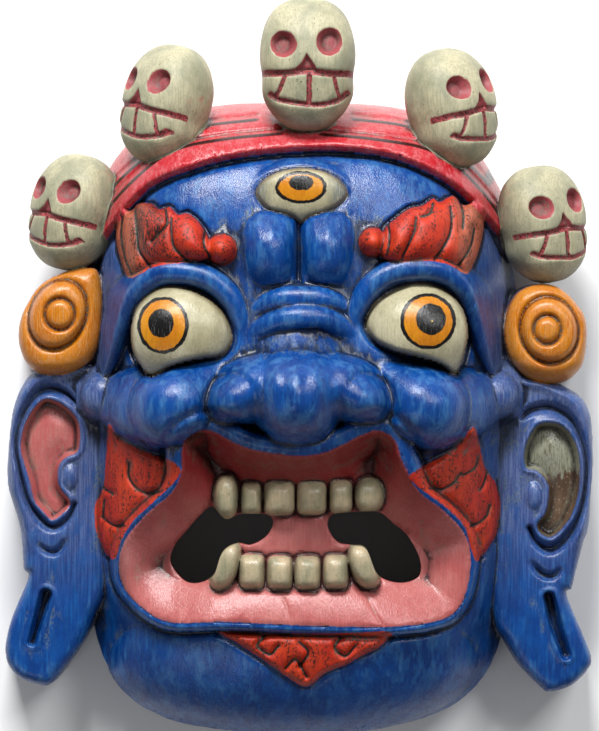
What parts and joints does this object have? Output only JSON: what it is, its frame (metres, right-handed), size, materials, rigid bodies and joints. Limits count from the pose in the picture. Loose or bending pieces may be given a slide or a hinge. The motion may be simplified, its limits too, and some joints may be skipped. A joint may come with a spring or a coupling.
{
  "type": "tibetan cham dance mask",
  "caption": "Wrathful three-eyed dance mask carved from one block of wood, with a red crown band set with skulls, long ears and gilt ear discs, hollow behind and open at the mouth",
  "frame": {"origin": "under the middle of the outline, on the plane of the flat back rim that the mask lies on", "axes": "+X to the right as one looks at the face, +Y up the face to the crown, +Z out of the face; the mask lies on its back with its face up"},
  "size_m": [0.3429, 0.422, 0.158],
  "materials": {
    "painted_wood": "hand-painted carved wood, worn semi-gloss paint: blue face, red band, orange brows and beard, pink lips, cream skulls, teeth and eyes, ochre discs; bare wood behind"
  },
  "bodies": {
    "root": {"mask": "painted_wood"}
  },
  "joints": []
}
